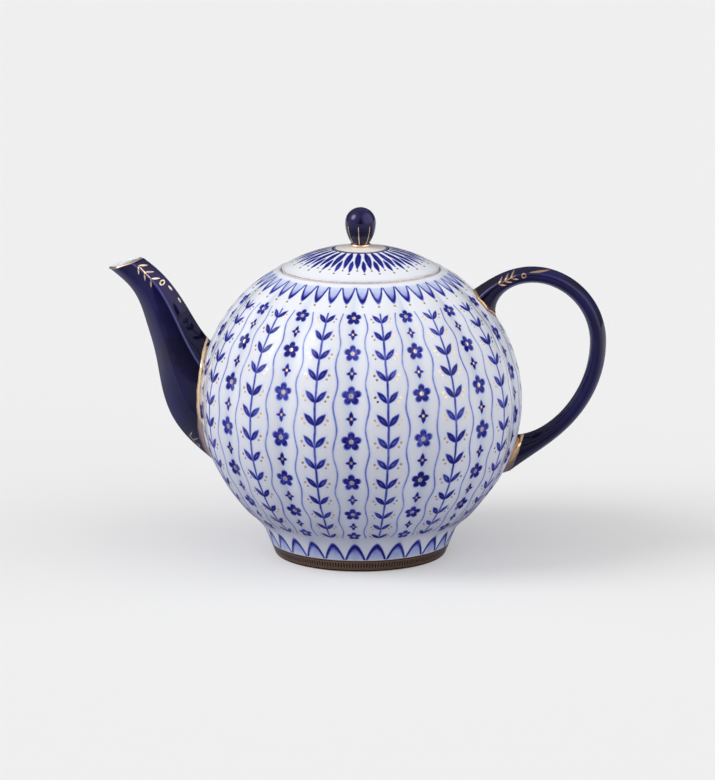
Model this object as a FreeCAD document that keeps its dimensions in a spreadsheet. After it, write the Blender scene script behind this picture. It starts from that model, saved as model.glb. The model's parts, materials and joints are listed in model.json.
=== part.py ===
"""Porcelain teapot: lobed body, six-sided spout and ear handle, loose domed lid with an egg knob.

Millimetres, +Z up, origin at the centre of the foot. The spout points along -X, the handle along +X.
"""
import FreeCAD
import Part
import Sketcher
import math
import os

SIZES = {
    # lobed globe
    "globe_radius": 57.8,
    "meridian_radius": 54.0,
    "globe_height": 56.0,
    "lobe_count": 14,
    "lobe_radius": 36.6,
    "wall": 4.2,
    "floor_height": 7.2,
    # foot ring
    "foot_radius": 30.6,
    "foot_slope": 0.4,
    "foot_ring": 4.4,
    "foot_recess": 3.6,
    "neck_height": 9.8,
    "flare_radius": 8.0,
    "skirt_radius": 43.7,
    "skirt_height": 22.0,
    "foot_ease": 0.9,
    # mouth and lid seat
    "mouth_radius": 24.0,
    "seat_radius": 28.4,
    "seat_height": 102.1,
    "seat_thick": 2.8,
    "rim_height": 103.5,
    "mouth_ease": 0.4,
    # strainer in the wall behind the spout
    "strainer_hole": 3.6,
    "strainer_ring": 7.6,
    "strainer_height": 57.0,
    # lid
    "lid_radius": 27.9,
    "lid_edge": 2.2,
    "dome_height": 111.65,
    "lid_wall": 3.0,
    "flange_radius": 23.4,
    "flange_wall": 2.8,
    "flange_depth": 6.0,
    "vent_hole": 2.5,
    "vent_place": 16.0,
    "brim_round": 1.0,
    "flange_ease": 0.8,
    # knob
    "knob_radius": 5.5,
    "knob_height": 14.0,
    "collar_radius": 3.7,
    "collar_height": 1.0,
    "knob_neck": 3.0,
    # handle
    "ear_top": 24.2,
    "ear_bottom": 40.2,
    "ear_reach": 84.7,
    "ear_height": 78.0,
    "handle_thick": 6.2,
    "handle_wide": 4.3,
}

# spout sections from the lip to the root: centre along x and z, lean, depth, half width and wall
SPOUT = {
    "tip": (-84.1, 105.0, 72.0, 13.2, 5.2, 1.2),
    "throat": (-76.2, 98.0, 64.0, 12.8, 5.1, 1.4),
    "neck": (-69.7, 86.6, 61.5, 16.0, 6.5, 1.8),
    "belly": (-64.6, 74.6, 61.0, 20.0, 8.3, 2.1),
    "base": (-56.3, 59.1, 45.0, 31.6, 10.6, 2.3),
    "root": (-45.1, 49.3, 28.0, 36.5, 11.6, 2.3),
}
STATION_WORDS = ("x", "z", "lean", "depth", "wide", "wall")
for place, numbers in SPOUT.items():
    for word, number in zip(STATION_WORDS, numbers):
        SIZES[f"{place}_{word}"] = number

doc = FreeCAD.newDocument("teapot")
sheet = doc.addObject("Spreadsheet::Sheet", "Sizes")
for row, (word, number) in enumerate(SIZES.items(), start=1):
    sheet.set(f"A{row}", word)
    sheet.set(f"B{row}", str(number))
    sheet.setAlias(f"B{row}", word)
doc.recompute()


class Size:
    """A length that carries its number and the expression that drives it from the sheet."""

    def __init__(self, number, text):
        self.number = float(number)
        self.text = text

    def __add__(self, other):
        other = as_size(other)
        return Size(self.number + other.number, f"({self.text} + {other.text})")

    def __sub__(self, other):
        other = as_size(other)
        return Size(self.number - other.number, f"({self.text} - {other.text})")

    def __mul__(self, other):
        other = as_size(other)
        return Size(self.number * other.number, f"({self.text} * {other.text})")

    def __truediv__(self, other):
        other = as_size(other)
        return Size(self.number / other.number, f"({self.text} / {other.text})")

    def __neg__(self):
        return Size(-self.number, f"(-1 * {self.text})")


def as_size(thing):
    return thing if isinstance(thing, Size) else Size(thing, str(thing))


def size(word):
    return Size(SIZES[word], f"Sizes.{word}")


def root_of(thing):
    return Size(math.sqrt(thing.number), f"sqrt({thing.text})")


def on_circle(centre_x, centre_y, radius, x, side=1):
    """Height of the point at x on a circle, on its upper (1) or lower (-1) half."""
    across = x - centre_x
    return centre_y + root_of(radius * radius - across * across) * side


def new_body(name):
    return doc.addObject("PartDesign::Body", name)


def sketch_on(body, name, plane, lean=None, **offset):
    sketch = body.newObject("Sketcher::SketchObject", name)
    planes = {feature.Role: feature for feature in body.Origin.OriginFeatures}
    sketch.AttachmentSupport = [(planes[plane], "")]
    sketch.MapMode = "FlatFace"
    if lean is not None:
        turn = FreeCAD.Rotation(FreeCAD.Vector(1, 0, 0), lean.number)
        sketch.AttachmentOffset = FreeCAD.Placement(FreeCAD.Vector(), turn)
        sketch.setExpression("AttachmentOffset.Rotation.Angle", lean.text)
    for axis, amount in offset.items():
        sketch.setExpression(f"AttachmentOffset.Base.{axis}", amount.text)
    return sketch


def bind(sketch, kind, *place, amount):
    number = sketch.addConstraint(Sketcher.Constraint(kind, *place, amount.number))
    sketch.setExpression(f"Constraints[{number}]", amount.text)


def pin(sketch, line, end, x, y):
    """Tie one end of a line or arc to its driven place in the sketch."""
    for kind, axis, amount in (("DistanceX", -2, x), ("DistanceY", -1, y)):
        if amount.number == 0:
            sketch.addConstraint(Sketcher.Constraint("PointOnObject", line, end, axis))
        else:
            bind(sketch, kind, -1, 1, line, end, amount=amount)


def bend(start, end, radius):
    """Arc from start to end; a positive radius turns left, a negative one turns right."""
    chord = end - start
    middle = (start + end) * 0.5
    left = FreeCAD.Vector(-chord.y, chord.x, 0).normalize()
    reach = math.sqrt(radius * radius - chord.Length ** 2 / 4)
    centre = middle + left * math.copysign(reach, radius)
    first, last = (start, end) if radius > 0 else (end, start)
    circle = Part.Circle(centre, FreeCAD.Vector(0, 0, 1), abs(radius))
    angles = [math.atan2(point.y - centre.y, point.x - centre.x) for point in (first, last)]
    return Part.ArcOfCircle(circle, angles[0], angles[1])


def outline(sketch, corners):
    """Closed outline through driven corners; a corner's third entry bends the run to the next one."""
    corners = [(as_size(x), as_size(y), turn) for x, y, turn in corners]
    points = [FreeCAD.Vector(x.number, y.number, 0) for x, y, turn in corners]
    count = len(corners)
    ends = []
    for index, (x, y, turn) in enumerate(corners):
        start = points[index]
        end = points[(index + 1) % count]
        if turn is None:
            sketch.addGeometry(Part.LineSegment(start, end))
            ends.append((1, 2))
        else:
            sketch.addGeometry(bend(start, end, turn.number))
            ends.append((1, 2) if turn.number > 0 else (2, 1))
    for index, (x, y, turn) in enumerate(corners):
        before = (index - 1) % count
        joint = (before, ends[before][1], index, ends[index][0])
        sketch.addConstraint(Sketcher.Constraint("Coincident", *joint))
        pin(sketch, index, ends[index][0], x, y)
        if turn is not None:
            radius = turn if turn.number > 0 else -turn
            bind(sketch, "Radius", index, amount=radius)


def turned(body, name, sketch, kind="PartDesign::Revolution"):
    """Full turn of a sketch about its own vertical axis."""
    feature = body.newObject(kind, name)
    feature.Profile = sketch
    feature.ReferenceAxis = (sketch, ["V_Axis"])
    feature.Angle = 360
    doc.recompute()
    return feature


def eased(body, name, edges, amount, kind="PartDesign::Chamfer", measure="Size"):
    before = body.Tip
    feature = body.newObject(kind, name)
    feature.Base = (before, edges)
    feature.setExpression(measure, amount.text)
    doc.recompute()
    return feature


def rounded(body, name, edges, radius):
    return eased(body, name, edges, radius, "PartDesign::Fillet", "Radius")


def ring_edges(shape, radius, height):
    """Names of the circular edges about the z axis at a radius and height."""
    names = []
    for number, edge in enumerate(shape.Edges, start=1):
        point = edge.valueAt(edge.FirstParameter)
        if abs(math.hypot(point.x, point.y) - radius) < 0.01 and abs(point.z - height) < 0.01:
            if edge.BoundBox.ZLength < 0.01:
                names.append(f"Edge{number}")
    return names


globe_offset = size("globe_radius") - size("meridian_radius")


def lobed_globe(name):
    """One lobe is a turn about a level axis, cut to its own wedge, and is repeated round the pot."""
    body = new_body(name)
    half_width = size("globe_radius") * 0.24
    arc_start = size("meridian_radius") - size("lobe_radius")
    arc_start = arc_start + root_of(size("lobe_radius") * size("lobe_radius") - half_width * half_width)
    sketch = sketch_on(body, f"{name}_lobe_outline", "XY_Plane", x=globe_offset, z=size("globe_height"))
    outline(sketch, [
        (0, -half_width, None),
        (arc_start, -half_width, size("lobe_radius")),
        (arc_start, half_width, None),
        (0, half_width, None),
    ])
    turned(body, f"{name}_lobe", sketch)

    far = size("globe_radius") * 1.4
    wedge = far * Size(math.tan(math.pi / SIZES["lobe_count"]), "tan(180 deg / Sizes.lobe_count)")
    sketch = sketch_on(body, f"{name}_wedge_outline", "XY_Plane")
    outline(sketch, [
        (0, 0, None),
        (far, wedge, None),
        (far, far, None),
        (-far, far, None),
        (-far, -far, None),
        (far, -far, None),
        (far, -wedge, None),
    ])
    pocket = body.newObject("PartDesign::Pocket", f"{name}_wedge")
    pocket.Profile = sketch
    pocket.Type = "ThroughAll"
    pocket.SideType = "Symmetric"
    doc.recompute()

    pattern = body.newObject("PartDesign::PolarPattern", f"{name}_lobes")
    pattern.TransformMode = "Whole shape"
    axes = {feature.Role: feature for feature in body.Origin.OriginFeatures}
    pattern.Axis = (axes["Z_Axis"], [""])
    pattern.Angle = 360
    pattern.setExpression("Occurrences", "Sizes.lobe_count")
    body.Tip = pattern
    doc.recompute()
    return body


def pot_casting():
    """The lobes sink into a skirt above the foot; then the chamber, the foot's recess and the strainer."""
    body = lobed_globe("pot_body")

    neck_radius = size("foot_radius") + size("foot_slope") * size("neck_height")
    flare_top = size("neck_height") + size("flare_radius") * 0.42
    sketch = sketch_on(body, "foot_outline", "XZ_Plane")
    outline(sketch, [
        (0, 0, None),
        (size("foot_radius"), 0, None),
        (neck_radius, size("neck_height"), -size("flare_radius")),
        (neck_radius + size("flare_radius") * 0.29, flare_top, size("meridian_radius")),
        (size("skirt_radius"), size("skirt_height"), None),
        (0, size("skirt_height"), None),
    ])
    turned(body, "foot", sketch)

    inner = size("globe_radius") - size("wall")
    ceiling = size("seat_height") - size("seat_thick")
    above = size("rim_height") + 12
    floor_rise = size("globe_height") - size("floor_height")
    shoulder_rise = ceiling - size("globe_height")
    floor_radius = root_of(inner * inner - floor_rise * floor_rise)
    shoulder_radius = root_of(inner * inner - shoulder_rise * shoulder_rise)
    sketch = sketch_on(body, "chamber_outline", "XZ_Plane")
    outline(sketch, [
        (0, size("floor_height"), None),
        (floor_radius, size("floor_height"), inner),
        (shoulder_radius, ceiling, None),
        (size("mouth_radius"), ceiling, None),
        (size("mouth_radius"), size("seat_height"), None),
        (size("seat_radius"), size("seat_height"), None),
        (size("seat_radius"), size("rim_height"), None),
        (size("globe_radius"), size("rim_height"), None),
        (size("globe_radius"), above, None),
        (0, above, None),
    ])
    turned(body, "chamber", sketch, "PartDesign::Groove")

    foot_inside = size("foot_radius") - size("foot_ring")
    sketch = sketch_on(body, "foot_recess_outline", "XZ_Plane")
    outline(sketch, [
        (0, -4, None),
        (foot_inside, -4, None),
        (foot_inside, size("foot_recess") + 2.6, None),
        (0, size("foot_recess"), None),
    ])
    turned(body, "foot_recess", sketch, "PartDesign::Groove")

    for name, away in (("strainer_middle", 0), ("strainer_first", size("strainer_ring"))):
        sketch = sketch_on(body, f"{name}_outline", "YZ_Plane", y=size("strainer_height"))
        middle = FreeCAD.Vector(0, as_size(away).number, 0)
        circle = sketch.addGeometry(Part.Circle(middle, FreeCAD.Vector(0, 0, 1), 1))
        bind(sketch, "Radius", circle, amount=size("strainer_hole") * 0.5)
        pin(sketch, circle, 3, as_size(0), as_size(away))
        pocket = body.newObject("PartDesign::Pocket", name)
        pocket.Profile = sketch
        pocket.Type = "ThroughAll"
        doc.recompute()
    pattern = body.newObject("PartDesign::PolarPattern", "strainer_holes")
    pattern.Originals = [pocket]
    pattern.Axis = (sketch, ["N_Axis"])
    pattern.Angle = 360
    pattern.Occurrences = 6
    body.Tip = pattern
    doc.recompute()

    edges = ring_edges(body.Shape, SIZES["foot_radius"], 0)
    rounded(body, "foot_edge", edges, size("foot_ease"))
    edges = ring_edges(body.Shape, foot_inside.number, 0)
    eased(body, "foot_inner_edge", edges, size("foot_ease"))
    edges = ring_edges(body.Shape, SIZES["seat_radius"], SIZES["rim_height"])
    edges += ring_edges(body.Shape, SIZES["mouth_radius"], SIZES["seat_height"])
    edges += ring_edges(body.Shape, SIZES["mouth_radius"], ceiling.number)
    eased(body, "mouth_edges", edges, size("mouth_ease"))
    return body


def six_sided(body, name, x, z, lean, depth, wide):
    """Six-sided section, pointed at its two ends, leaning in the middle plane."""
    sketch = sketch_on(body, name, "YZ_Plane", lean, y=z, z=x)
    tip = depth * 0.5
    corner = depth * 0.21
    outline(sketch, [
        (0, tip, None),
        (wide, corner, None),
        (wide, -corner, None),
        (0, -tip, None),
        (-wide, -corner, None),
        (-wide, corner, None),
    ])
    return sketch


def lofted(body, name, sketches, kind="PartDesign::AdditiveLoft"):
    feature = body.newObject(kind, name)
    feature.Profile = sketches[0]
    feature.Sections = sketches[1:]
    doc.recompute()
    return feature


def luted(name, casting, globe):
    """The casting trimmed to sit on the outside of the globe."""
    piece = doc.addObject("Part::Cut", name)
    piece.Base = casting
    piece.Tool = globe
    piece.Refine = True
    doc.recompute()
    return piece


def spout_casting():
    """Loft through leaning sections, with the channel lofted out of it past both ends."""
    body = new_body("spout_casting")
    outside = []
    inside = []
    past = {"tip": (-2.2, 2.2), "root": (4.0, -4.0)}
    for place in SPOUT:
        x, z, lean, depth, wide, wall = (size(f"{place}_{word}") for word in STATION_WORDS)
        outside.append(six_sided(body, f"spout_{place}", x, z, lean, depth, wide))
        x = x + past.get(place, (0, 0))[0]
        z = z + past.get(place, (0, 0))[1]
        depth = depth - wall * 2.4
        wide = wide - wall
        inside.append(six_sided(body, f"channel_{place}", x, z, lean, depth, wide))
    lofted(body, "spout_outside", outside)
    lofted(body, "spout_channel", inside, "PartDesign::SubtractiveLoft")
    return body


def handle_casting():
    """Ear of two arcs that meet at its far side, flared toward both roots."""
    body = new_body("handle_casting")
    sections = []
    for angle in (160, 144, 130, 112, 80, 45, 10, -15, -35, -52, -66, -76, -84, -100):
        arc = size("ear_top") if angle > 0 else size("ear_bottom")
        toward_root = min(1, max(0, (angle - 70) / 77, (-25 - angle) / 55))
        sag = -0.45 if angle > 0 else 0.2
        radius = arc + size("handle_thick") * (sag * toward_root ** 2)
        x = size("ear_reach") - arc + radius * Size(math.cos(math.radians(angle)), f"cos({angle} deg)")
        z = size("ear_height") + radius * Size(math.sin(math.radians(angle)), f"sin({angle} deg)")
        depth = size("handle_thick") * (1 + 1.5 * toward_root ** 5)
        wide = size("handle_wide") * (1 + 0.35 * toward_root ** 2)
        name = f"handle_{len(sections)}"
        sections.append(six_sided(body, name, x, z, as_size(90 - angle), depth, wide))
    lofted(body, "handle_outside", sections)
    return body


def lid_casting():
    body = new_body("lid")
    edge_top = size("seat_height") + size("lid_edge")
    flange_inside = size("flange_radius") - size("flange_wall")
    flange_bottom = size("seat_height") - size("flange_depth")
    pad = size("collar_radius") + 0.1
    dome_rise = size("dome_height") - edge_top
    spread = size("lid_radius") * size("lid_radius") - pad * pad - dome_rise * dome_rise
    below_edge = spread / (dome_rise * 2)
    dome_centre = edge_top - below_edge
    dome_radius = root_of(size("lid_radius") * size("lid_radius") + below_edge * below_edge)
    under_radius = dome_radius - size("lid_wall")
    under_edge = on_circle(as_size(0), dome_centre, under_radius, flange_inside)
    sketch = sketch_on(body, "lid_outline", "XZ_Plane")
    outline(sketch, [
        (0, dome_centre + under_radius, -under_radius),
        (flange_inside, under_edge, None),
        (flange_inside, flange_bottom, None),
        (size("flange_radius"), flange_bottom, None),
        (size("flange_radius"), size("seat_height"), None),
        (size("lid_radius"), size("seat_height"), None),
        (size("lid_radius"), edge_top, dome_radius),
        (pad, size("dome_height"), None),
        (0, size("dome_height"), None),
    ])
    turned(body, "lid_turn", sketch)
    edges = ring_edges(body.Shape, SIZES["lid_radius"], edge_top.number)
    rounded(body, "lid_brim", edges, size("brim_round"))
    edges = ring_edges(body.Shape, SIZES["flange_radius"], flange_bottom.number)
    edges += ring_edges(body.Shape, flange_inside.number, flange_bottom.number)
    eased(body, "flange_edges", edges, size("flange_ease"))

    sketch = sketch_on(body, "vent_outline", "XY_Plane")
    middle = FreeCAD.Vector(0, SIZES["vent_place"], 0)
    circle = sketch.addGeometry(Part.Circle(middle, FreeCAD.Vector(0, 0, 1), 1))
    bind(sketch, "Radius", circle, amount=size("vent_hole") * 0.5)
    pin(sketch, circle, 3, as_size(0), size("vent_place"))
    pocket = body.newObject("PartDesign::Pocket", "vent")
    pocket.Profile = sketch
    pocket.Type = "ThroughAll"
    pocket.Reversed = True
    doc.recompute()
    return body


def knob_casting():
    body = new_body("lid_knob")
    base = size("dome_height")
    collar_top = base + size("collar_height")
    widest = base + size("knob_height") - size("knob_radius")
    taper = size("knob_radius") - size("knob_neck")
    rise = widest - collar_top
    egg = Size((taper.number ** 2 + rise.number ** 2) / (2 * taper.number),
               f"(({taper.text} ^ 2 + {rise.text} ^ 2) / (2 * {taper.text}))")
    bead = size("collar_height") * 0.5
    sketch = sketch_on(body, "knob_outline", "XZ_Plane")
    outline(sketch, [
        (0, base, None),
        (size("collar_radius") - bead, base, bead * 1.02),
        (size("collar_radius") - bead, collar_top, None),
        (size("knob_neck"), collar_top, egg),
        (size("knob_radius"), widest, size("knob_radius")),
        (0, base + size("knob_height"), None),
    ])
    turned(body, "knob_turn", sketch)
    return body


globe = lobed_globe("globe_tool")
pieces = [
    pot_casting(),
    luted("spout", spout_casting(), globe),
    luted("handle", handle_casting(), globe),
    lid_casting(),
    knob_casting(),
]
doc.recompute()
for thing in doc.Objects:
    if "Invalid" in thing.State or "Error" in thing.State:
        raise RuntimeError(f"{thing.Name} did not build")
os.makedirs("parts", exist_ok=True)
for piece in pieces:
    piece.Label = piece.Name
    shape = piece.Shape
    if shape.isNull() or not shape.isValid() or len(shape.Solids) != 1:
        raise RuntimeError(f"{piece.Name} is not one sound solid")
    shape.exportStep(f"parts/{piece.Name}.step")
    print(f"{piece.Name}: {shape.Volume / 1000:.2f} cm3")
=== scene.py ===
"""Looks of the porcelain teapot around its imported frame.

The scene is in metres, +Z up, with the spout along -X and the handle along +X.
Sizes named here are in millimetres.
"""
import json
import math
import bpy
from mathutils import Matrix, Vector

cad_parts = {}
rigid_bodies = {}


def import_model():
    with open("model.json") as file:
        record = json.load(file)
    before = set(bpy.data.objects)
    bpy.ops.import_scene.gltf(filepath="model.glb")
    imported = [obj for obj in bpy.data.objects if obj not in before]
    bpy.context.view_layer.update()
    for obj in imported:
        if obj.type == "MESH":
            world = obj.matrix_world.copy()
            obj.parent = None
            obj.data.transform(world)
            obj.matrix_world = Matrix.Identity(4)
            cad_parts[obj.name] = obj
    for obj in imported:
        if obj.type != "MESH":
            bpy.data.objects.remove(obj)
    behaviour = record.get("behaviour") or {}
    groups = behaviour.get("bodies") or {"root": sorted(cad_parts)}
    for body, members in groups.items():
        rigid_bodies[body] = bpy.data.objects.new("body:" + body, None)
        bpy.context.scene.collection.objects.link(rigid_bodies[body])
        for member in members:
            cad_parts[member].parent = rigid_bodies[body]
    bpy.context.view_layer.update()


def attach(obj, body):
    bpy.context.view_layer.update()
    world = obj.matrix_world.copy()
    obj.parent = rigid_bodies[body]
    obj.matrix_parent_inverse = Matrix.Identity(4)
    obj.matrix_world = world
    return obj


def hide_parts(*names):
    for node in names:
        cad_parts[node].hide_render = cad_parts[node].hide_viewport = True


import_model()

MM = 0.001
ORIGIN = (0, 0, 0)

# lobed globe
GLOBE_RADIUS = 57.8
MERIDIAN_RADIUS = 54.0
GLOBE_OFFSET = GLOBE_RADIUS - MERIDIAN_RADIUS
GLOBE_HEIGHT = 56.0
LOBES = 14
LOBE_RADIUS = 36.6
LOBE_STEPS = 16
LOBE_ROWS = 76
SKIRT_RISE = 9.0
SKIRT_SWELL = 0.12
AROUND = LOBES * LOBE_STEPS
WALL = 4.2
# foot and mouth
FOOT_RADIUS = 30.6
FOOT_SLOPE = 0.4
FOOT_INSIDE = 26.2
FOOT_ROUND = 0.9
FOOT_TOP = 8.7
FOOT_RINGS = (7.2, 5.6, 4.2, 2.6, 1.5)
FOOT_RECESS = [(FOOT_INSIDE, 3.4), (FOOT_INSIDE, 5.2), (25.6, 6.0), (24, 5.9), (18, 4.9), (11, 4.1), (4, 3.65)]
GLOBE_FOOT = 13.6
GLOBE_RIM = 103.1
RIM_HEIGHT = 103.5
RIM_TOP = 29.3
RIM_ROUND = 0.5
SEAT_HEIGHT = 102.1
SEAT_RADIUS = 28.4
MOUTH_RADIUS = 24.0
MOUTH_ROUND = 0.6
CORNER_ROUND = 0.3
CEILING = 99.3
FLOOR_HEIGHT = 7.2
FLOOR_DIP = [(10, FLOOR_HEIGHT - 0.1), (4, FLOOR_HEIGHT - 0.12)]
STRAINER_PLACE = -53.0
STRAINER_HEIGHT = 57.0
STRAINER_RING = 7.6
STRAINER_HOLE = 1.8
STRAINER_PEG = 14
# lid and knob
LID_RADIUS = 27.9
LID_EDGE = 104.3
DOME_HEIGHT = 111.65
DOME_CENTRE = 56.0
DOME_RADIUS = math.hypot(LID_RADIUS, LID_EDGE - DOME_CENTRE)
LID_WALL = 3.0
BRIM_ROUND = 1.0
LID_EDGE_ROUND = 0.4
FLANGE_RADIUS = 23.4
FLANGE_INSIDE = 20.6
FLANGE_BOTTOM = 96.1
FLANGE_ROUND = 0.8
VENT_PLACE = 16.0
VENT_HEIGHT = 106.0
VENT_HOLE = 1.25
VENT_PEG = 16
KNOB_AROUND = 96
KNOB_RADIUS = 5.5
KNOB_HEIGHT = 14.0
KNOB_NECK = 3.0
COLLAR_RADIUS = 3.7
COLLAR_HEIGHT = 1.0
# spout sections from the lip to the root: centre along x and z, lean, depth, half width and wall
SPOUT = [
    (-84.1, 105.0, 72.0, 13.2, 5.2, 1.2),
    (-76.2, 98.0, 64.0, 12.8, 5.1, 1.4),
    (-69.7, 86.6, 61.5, 16.0, 6.5, 1.8),
    (-64.6, 74.6, 61.0, 20.0, 8.3, 2.1),
    (-56.3, 59.1, 45.0, 31.6, 10.6, 2.3),
    (-45.1, 49.3, 28.0, 36.5, 11.6, 2.3),
]
SPOUT_ROWS = 72
SPOUT_RIDGE = 0.6
# walls that the channel takes off a section's depth, where a pointed end takes more than a flat side
DEPTH_WALLS = 2.4
# round of the lip: share of the wall crossed from the outside, and height
LIP = ((0.0, -0.55), (0.12, -0.25), (0.32, -0.05), (0.5, 0.0), (0.68, -0.05), (0.88, -0.25), (1.0, -0.55))
# sections of spout and handle
SIDES = 6
POINTED = 0.84
# share of the ridges' paler cobalt on the inner ones, which get less painted highlight
INNER_RIDGE = 0.25
LUTED_DEPTH = 56.3
# handle, with its angles in degrees from its far side
EAR_TOP = 24.2
EAR_BOTTOM = 40.2
EAR_REACH = 84.7
EAR_HEIGHT = 78.0
HANDLE_THICK = 6.2
HANDLE_WIDE = 4.3
HANDLE_START = 160
HANDLE_STEP = 2.6
HANDLE_ROWS = 101
HANDLE_RIDGE = 0.8
UPPER_ROOT = 70
UPPER_RUN = 77
UPPER_SAG = -0.45
LOWER_ROOT = -25
LOWER_RUN = 55
LOWER_SAG = 0.2
ROOT_DEPTH = 1.5
ROOT_WIDTH = 0.35
# points closer than these are welded, and edges sharper than this angle in degrees stay crisp
WELD = 0.004
LOBE_WELD = 0.01
CREASE = 38


def leave_edit():
    if bpy.context.object and bpy.context.object.mode != "OBJECT":
        bpy.ops.object.mode_set(mode="OBJECT")
    bpy.ops.object.select_all(action="DESELECT")


def named(name):
    """The piece just added, with its place in its mesh."""
    piece = bpy.context.object
    piece.name = name
    piece.data.name = name
    bpy.ops.object.transform_apply(location=True, rotation=True, scale=True)
    return piece


def edit():
    bpy.ops.object.mode_set(mode="EDIT")
    bpy.ops.mesh.select_mode(type="VERT")


def extrude():
    bpy.ops.mesh.extrude_region_move(TRANSFORM_OT_translate={"value": ORIGIN})


def move(x=0.0, y=0.0, z=0.0):
    bpy.ops.transform.translate(value=(x * MM, y * MM, z * MM))


def stretch(x=1.0, y=1.0, z=1.0, about=ORIGIN):
    centre = [value * MM for value in about]
    bpy.ops.transform.resize(value=(x, y, z), center_override=centre)


def swing(degrees, about=ORIGIN):
    """Turn the selection in the middle plane, from +X towards +Z."""
    centre = [value * MM for value in about]
    bpy.ops.transform.rotate(value=math.radians(degrees), orient_axis="Y", center_override=centre)


def arc(x, z, radius, start, end, steps):
    """Points along an arc of a profile, by its angles in degrees."""
    angles = [math.radians(start + (end - start) * k / steps) for k in range(steps + 1)]
    return [(x + radius * math.cos(angle), z + radius * math.sin(angle)) for angle in angles]


def ring(radius, height, count=AROUND):
    bpy.ops.mesh.primitive_circle_add(vertices=count, radius=radius * MM, location=(0, 0, height * MM))


def draw_out(profile):
    """Draw the selected ring along a profile of (radius, height), ring after ring."""
    for (radius, height), (wider, higher) in zip(profile, profile[1:]):
        extrude()
        move(z=higher - height)
        stretch(wider / radius, wider / radius, 1, (0, 0, higher))


def close_pole(rise=0.0):
    extrude()
    move(z=rise)
    bpy.ops.mesh.merge(type="CENTER")


def choose(piece, test):
    """Select the vertices of the piece being edited that pass a test on their place in millimetres."""
    bpy.ops.mesh.select_all(action="DESELECT")
    bpy.ops.object.mode_set(mode="OBJECT")
    for vertex in piece.data.vertices:
        vertex.select = test(*(vertex.co / MM))
    bpy.ops.object.mode_set(mode="EDIT")


def choose_edges(piece, test, open_only=False):
    """Select the edges of the piece being edited that pass a test on their two ends."""
    bpy.ops.mesh.select_mode(type="EDGE")
    bpy.ops.mesh.select_all(action="DESELECT" if open_only else "SELECT")
    if open_only:
        bpy.ops.mesh.select_non_manifold()
    bpy.ops.object.mode_set(mode="OBJECT")
    points = piece.data.vertices
    chosen = []
    for edge in piece.data.edges:
        first, second = (points[index] for index in edge.vertices)
        chosen.append(edge.select and test(first.co, second.co))
    bpy.ops.object.mode_set(mode="EDIT")
    bpy.ops.mesh.select_all(action="DESELECT")
    bpy.ops.object.mode_set(mode="OBJECT")
    for edge, keep in zip(piece.data.edges, chosen):
        edge.select = keep
    bpy.ops.object.mode_set(mode="EDIT")


def join_open_rings(piece, upper):
    """Bridge the two open rings in the upper or the lower half with a smooth band."""
    choose_edges(piece, lambda first, second: (first.z > GLOBE_HEIGHT * MM) == upper, open_only=True)
    bpy.ops.mesh.bridge_edge_loops(number_cuts=6, interpolation="SURFACE", smoothness=0.8)
    bpy.ops.mesh.select_mode(type="VERT")


def settle(piece):
    """Weld seams, turn faces outwards and shade smooth with crisp edges kept."""
    edit()
    bpy.ops.mesh.select_all(action="SELECT")
    bpy.ops.mesh.remove_doubles(threshold=WELD * MM)
    bpy.ops.mesh.normals_make_consistent(inside=False)
    bpy.ops.object.mode_set(mode="OBJECT")
    bpy.ops.object.shade_smooth_by_angle(angle=math.radians(CREASE))
    return piece


def cut_away(piece, tool):
    """Take the tool's shape out of the piece and remove the tool."""
    leave_edit()
    bpy.context.view_layer.objects.active = piece
    piece.select_set(True)
    cut = piece.modifiers.new("cut", "BOOLEAN")
    cut.operation = "DIFFERENCE"
    cut.solver = "EXACT"
    cut.object = tool
    bpy.ops.object.modifier_apply(modifier="cut")
    bpy.data.objects.remove(tool)


def pegs(places, radius, length, turn):
    """Round pegs in one piece, for piercing holes."""
    leave_edit()
    for number, place in enumerate(places):
        bpy.ops.mesh.primitive_cylinder_add(
            vertices=32, radius=radius * MM, depth=length * MM,
            location=[value * MM for value in place], rotation=turn)
        if number == 0:
            tool = named("pegs")
            edit()
    bpy.ops.object.mode_set(mode="OBJECT")
    return tool


def lobe_end(degrees):
    """Half width and sag of a lobe where it meets its neighbour, at an angle up its meridian."""
    rise = math.cos(math.radians(degrees))
    height = GLOBE_HEIGHT + MERIDIAN_RADIUS * math.sin(math.radians(degrees))
    swell = min(1, max(SKIRT_SWELL, (height - GLOBE_FOOT) / SKIRT_RISE))
    slope = math.tan(math.pi / LOBES)
    half = 0.0
    for _ in range(40):
        sag = (LOBE_RADIUS - math.sqrt(LOBE_RADIUS ** 2 - half ** 2)) * swell
        half = slope * (GLOBE_OFFSET + (MERIDIAN_RADIUS - sag) * rise)
    return half, sag


def meridian_angle(height):
    return math.degrees(math.asin((height - GLOBE_HEIGHT) / MERIDIAN_RADIUS))


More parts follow.
